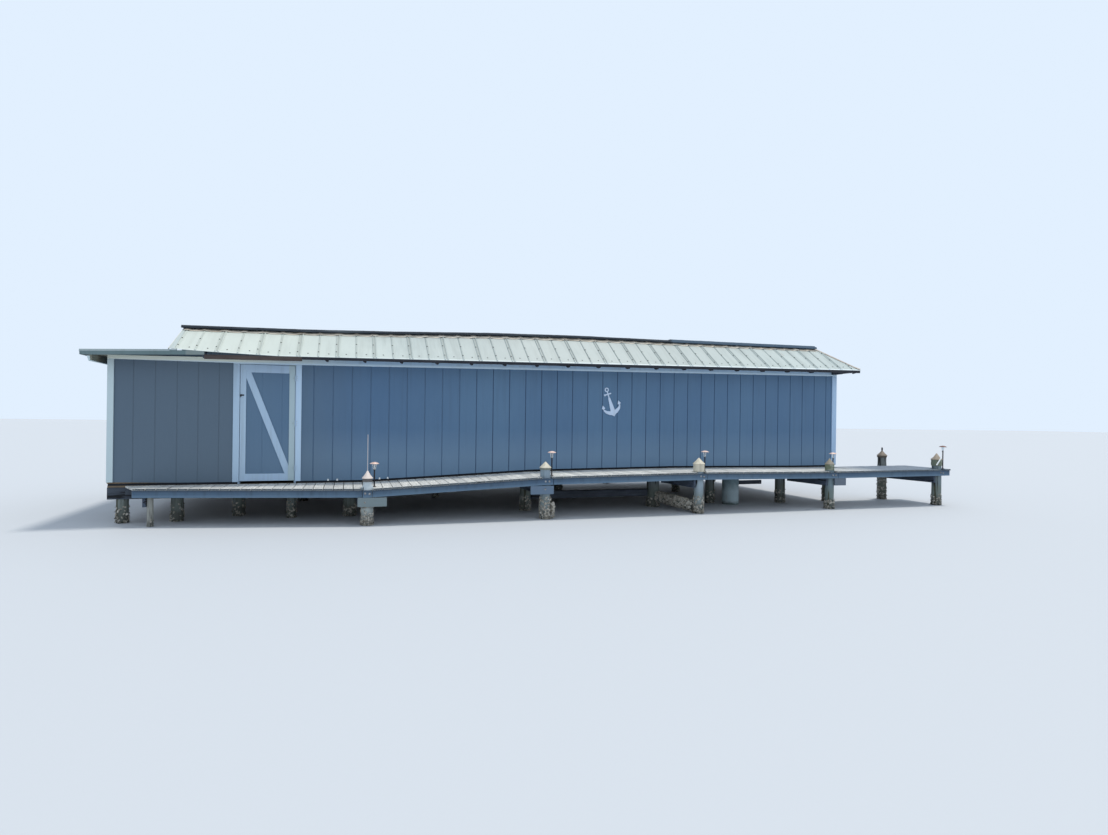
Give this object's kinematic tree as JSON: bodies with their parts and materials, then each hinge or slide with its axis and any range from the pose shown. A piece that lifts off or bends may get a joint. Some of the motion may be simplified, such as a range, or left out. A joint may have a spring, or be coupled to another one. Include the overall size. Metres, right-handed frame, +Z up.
{
  "type": "boathouse",
  "caption": "Long low boathouse on timber piles with grooved siding, a crimped metal eave roof, a braced hinged door, a side walkway and an end platform.",
  "frame": {"origin": "centre of the bounding box at the water line, the feet of the piles", "axes": "+X along the front wall from the land end to the water end, +Y from the walkway side to the back, +Z up"},
  "size_m": [15.83, 6.152, 3.4085],
  "materials": {
    "siding": "satin paint",
    "raw_wood": "weathered",
    "trim": "satin paint",
    "dark_metal": "satin",
    "roof_metal": "matte",
    "roofing": "matte",
    "fascia": "satin paint",
    "deck": "weathered",
    "pile": "weathered",
    "white": "satin",
    "concrete": "rough",
    "lens": "clear",
    "copper": "satin"
  },
  "bodies": {
    "building": {"front_wall_left": "siding", "front_wall_right": "siding", "wall_over_door": "siding", "back_wall": "siding", "land_end_wall": "siding", "water_end_wall": "siding", "upper_end_wall": "siding", "sill_plates": "raw_wood", "floor": "raw_wood", "floor_beams": "raw_wood", "top_trim": "trim", "corner_trims": "trim", "door_casing": "trim", "door_jamb": "trim", "hinge_fixed": "trim", "metal_slope_front": "roof_metal", "metal_slope_back": "roof_metal", "metal_hip_end": "roof_metal", "roof_deck": "roofing", "roof_roll": "roofing", "rafters": "raw_wood", "eave_boards": "raw_wood", "low_roof": "roofing", "low_fascia": "fascia", "deck_boards": "deck", "deck_fascia": "fascia", "deck_stringers": "raw_wood", "cross_beams": "raw_wood", "bolsters": "fascia", "outer_piles": "pile", "pile_caps": "white", "inner_piles": "pile", "concrete_pile": "concrete", "low_beams": "pile", "shell_beam": "pile", "anchor": "white", "light_stems": "dark_metal", "light_lenses": "lens", "light_caps": "copper", "thin_rod": "white"},
    "door": {"door_panel": "siding", "door_frame_boards": "trim", "door_brace": "trim", "hinge_moving": "trim", "door_latch": "dark_metal"}
  },
  "joints": [
    {"name": "door_hinge", "type": "hinge", "parent": "building", "child": "door", "pos_m": [-4.9555, -1.953, 1.568], "axis": [0, 0, 1], "range_deg": [0, 100]}
  ]
}
